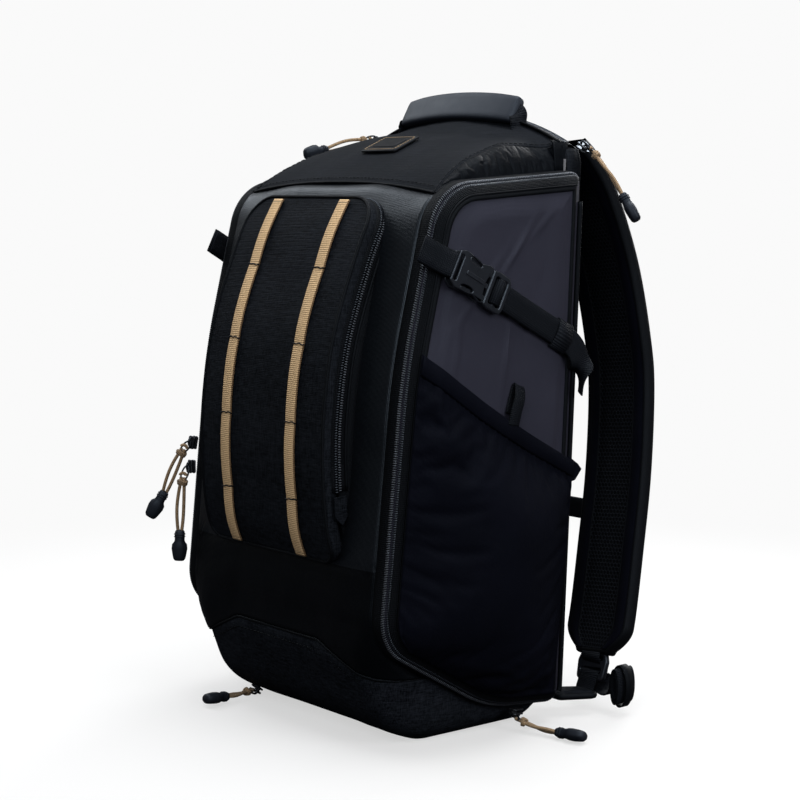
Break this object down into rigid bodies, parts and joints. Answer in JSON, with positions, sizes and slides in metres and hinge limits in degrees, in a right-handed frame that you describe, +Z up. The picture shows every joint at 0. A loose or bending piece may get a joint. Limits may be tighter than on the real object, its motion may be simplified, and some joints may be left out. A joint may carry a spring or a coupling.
{
  "type": "camera and drone backpack",
  "caption": "Padded backpack for a camera drone, with zipped side doors, a front pocket with webbing rows, a lid, side stretch pockets and shoulder straps.",
  "frame": {"origin": "on the ground under the middle of the flat base", "axes": "+Z up, +Y towards the wearer's back, -Y out of the front pocket, X across the bag"},
  "size_m": [0.3442, 0.3119, 0.4942],
  "materials": {
    "coated_nylon": "smooth coated slate-black pack cloth with a soft sheen",
    "woven_nylon": "charcoal basket weave with lighter flecks",
    "door_nylon": "smooth charcoal-violet nylon with faint creases",
    "stretch_mesh": "near-black navy stretch knit with soft folds",
    "tan_webbing": "ribbed tan webbing",
    "black_webbing": "ribbed black webbing",
    "air_mesh": "black honeycomb air mesh over foam",
    "lining": "grey brushed lining over foam",
    "frame_plastic": "fine-grained sheet",
    "handle_rubber": "satin moulded grip",
    "buckle_plastic": "satin acetal",
    "zip_coil": "black coil on woven tape",
    "slider_metal": "black enamelled casting",
    "pull_cord": "tan braided cord in a black moulded end",
    "patch": "black coated patch with a tan stitched edge"
  },
  "bodies": {
    "root": {"back_panel": "woven_nylon", "frame_sheet": "frame_plastic", "back_pads": "air_mesh", "shoulder_yoke": "woven_nylon", "front_panel": "coated_nylon", "base_panel": "coated_nylon", "base_boot": "woven_nylon", "pocket_gusset": "coated_nylon", "pocket_zip": "zip_coil", "laptop_sleeve": "lining", "padded_dividers": "lining", "right_door_frame": "coated_nylon", "left_door_frame": "coated_nylon", "right_strap_wing": "woven_nylon", "left_strap_wing": "woven_nylon"},
    "lid": {"lid": "woven_nylon", "lid_zip": "zip_coil", "lid_patch": "patch"},
    "handle": {"handle_grip": "handle_rubber", "handle_webbing": "black_webbing"},
    "pocket_flap": {"pocket_flap": "woven_nylon", "daisy_chains": "tan_webbing"},
    "sternum_plug": {"sternum_plug": "buckle_plastic"},
    "right_door": {"right_door": "door_nylon", "right_door_zip": "zip_coil", "right_stretch_pocket": "stretch_mesh", "right_buckle_socket": "buckle_plastic", "right_side_strap": "black_webbing", "right_strap_keeper": "black_webbing"},
    "right_buckle_plug": {"right_buckle_plug": "buckle_plastic"},
    "right_shoulder": {"right_shoulder_pad": "air_mesh", "right_ladder_lock": "buckle_plastic", "right_lower_webbing": "black_webbing"},
    "right_sternum": {"right_sternum_slider": "buckle_plastic", "right_sternum_webbing": "black_webbing"},
    "left_door": {"left_door": "door_nylon", "left_door_zip": "zip_coil", "left_stretch_pocket": "stretch_mesh", "left_buckle_socket": "buckle_plastic", "left_side_strap": "black_webbing", "left_strap_keeper": "black_webbing"},
    "left_buckle_plug": {"left_buckle_plug": "buckle_plastic"},
    "left_shoulder": {"left_shoulder_pad": "air_mesh", "left_ladder_lock": "buckle_plastic", "left_lower_webbing": "black_webbing"},
    "left_sternum": {"left_sternum_slider": "buckle_plastic", "left_sternum_webbing": "black_webbing", "sternum_socket": "buckle_plastic"},
    "lid_right_slider": {"lid_right_slider": "slider_metal"},
    "lid_right_pull": {"lid_right_pull": "pull_cord"},
    "lid_left_slider": {"lid_left_slider": "slider_metal"},
    "lid_left_pull": {"lid_left_pull": "pull_cord"},
    "left_door_upper_slider": {"left_door_upper_slider": "slider_metal"},
    "left_door_upper_pull": {"left_door_upper_pull": "pull_cord"},
    "left_door_lower_slider": {"left_door_lower_slider": "slider_metal"},
    "left_door_lower_pull": {"left_door_lower_pull": "pull_cord"},
    "right_door_slider": {"right_door_slider": "slider_metal"},
    "right_door_pull": {"right_door_pull": "pull_cord"},
    "base_slider": {"base_slider": "slider_metal"},
    "base_pull": {"base_pull": "pull_cord"}
  },
  "joints": [
    {"name": "right_door_hinge", "type": "hinge", "parent": "root", "child": "right_door", "pos_m": [0.1222, 0.0765, 0.016], "axis": [0, 0.0458, 0.9989], "range_deg": [0, 90]},
    {"name": "left_door_hinge", "type": "hinge", "parent": "root", "child": "left_door", "pos_m": [-0.1222, 0.0765, 0.016], "axis": [0, -0.0458, -0.9989], "range_deg": [0, 90]},
    {"name": "pocket_flap_hinge", "type": "hinge", "parent": "root", "child": "pocket_flap", "pos_m": [0, -0.112, 0.142], "axis": [1, 0, 0], "range_deg": [0, 100]},
    {"name": "lid_hinge", "type": "hinge", "parent": "root", "child": "lid", "pos_m": [0, -0.042, 0.4215], "axis": [1, 0, 0], "range_deg": [0, 55]},
    {"name": "handle_lift", "type": "slide", "parent": "lid", "child": "handle", "axis": [0, 0, 1], "range_m": [0, 0.01]},
    {"name": "right_buckle_release", "type": "slide", "parent": "right_door", "child": "right_buckle_plug", "axis": [0, 0.891, -0.454], "range_m": [0, 0.018]},
    {"name": "left_buckle_release", "type": "slide", "parent": "left_door", "child": "left_buckle_plug", "axis": [0, 0.891, -0.454], "range_m": [0, 0.018]},
    {"name": "right_shoulder_swing", "type": "hinge", "parent": "root", "child": "right_shoulder", "pos_m": [0, 0.113, 0.449], "axis": [1, 0, 0], "range_deg": [0, 6]},
    {"name": "left_shoulder_swing", "type": "hinge", "parent": "root", "child": "left_shoulder", "pos_m": [0, 0.113, 0.449], "axis": [1, 0, 0], "range_deg": [0, 6]},
    {"name": "right_sternum_height", "type": "slide", "parent": "right_shoulder", "child": "right_sternum", "axis": [0, -0.235, -0.972], "range_m": [-0.015, 0.015]},
    {"name": "left_sternum_height", "type": "slide", "parent": "left_shoulder", "child": "left_sternum", "axis": [0, -0.235, -0.972], "range_m": [-0.015, 0.015]},
    {"name": "sternum_release", "type": "slide", "parent": "right_sternum", "child": "sternum_plug", "axis": [1, 0, 0], "range_m": [0, 0.018]},
    {"name": "lid_right_slider_travel", "type": "hinge", "parent": "root", "child": "lid_right_slider", "pos_m": [0, 0.1, 0.217], "axis": [0, -1, 0], "range_deg": [0, 8]},
    {"name": "lid_left_slider_travel", "type": "hinge", "parent": "lid", "child": "lid_left_slider", "pos_m": [0, 0.087, 0.217], "axis": [0, 1, 0], "range_deg": [0, 8]},
    {"name": "left_door_upper_slider_travel", "type": "slide", "parent": "root", "child": "left_door_upper_slider", "axis": [0, 0.105, 0.9945], "range_m": [0, 0.06]},
    {"name": "left_door_lower_slider_travel", "type": "slide", "parent": "root", "child": "left_door_lower_slider", "axis": [0, -0.105, -0.9945], "range_m": [0, 0.05]},
    {"name": "right_door_slider_travel", "type": "slide", "parent": "root", "child": "right_door_slider", "axis": [0, -0.9945, 0.1045], "range_m": [0, 0.03]},
    {"name": "base_slider_travel", "type": "slide", "parent": "root", "child": "base_slider", "axis": [1, 0, 0], "range_m": [0, 0.08]},
    {"name": "lid_right_pull_swing", "type": "hinge", "parent": "lid_right_slider", "child": "lid_right_pull", "pos_m": [0.131, 0.103, 0.446], "axis": [0, -1, 0], "range_deg": [0, 30]},
    {"name": "lid_left_pull_swing", "type": "hinge", "parent": "lid_left_slider", "child": "lid_left_pull", "pos_m": [-0.118, 0.081, 0.458], "axis": [0, 0, -1], "range_deg": [0, 30]},
    {"name": "left_door_upper_pull_swing", "type": "hinge", "parent": "left_door_upper_slider", "child": "left_door_upper_pull", "pos_m": [-0.129, -0.105, 0.205], "axis": [-0.6919, 0.722, 0], "range_deg": [0, 30]},
    {"name": "left_door_lower_pull_swing", "type": "hinge", "parent": "left_door_lower_slider", "child": "left_door_lower_pull", "pos_m": [-0.127, -0.107, 0.182], "axis": [-1, 0, 0], "range_deg": [0, 30]},
    {"name": "right_door_pull_swing", "type": "hinge", "parent": "right_door_slider", "child": "right_door_pull", "pos_m": [0.131, 0.03, 0.009], "axis": [0.2614, -0.9652, 0], "range_deg": [0, 40]},
    {"name": "base_pull_swing", "type": "hinge", "parent": "base_slider", "child": "base_pull", "pos_m": [-0.086, -0.072, 0.005], "axis": [-1, 0, 0], "range_deg": [0, 40]}
  ],
  "couplings": [
    {"joint": "left_shoulder_swing", "follows": "right_shoulder_swing", "ratio": 1},
    {"joint": "left_sternum_height", "follows": "right_sternum_height", "ratio": 1}
  ]
}
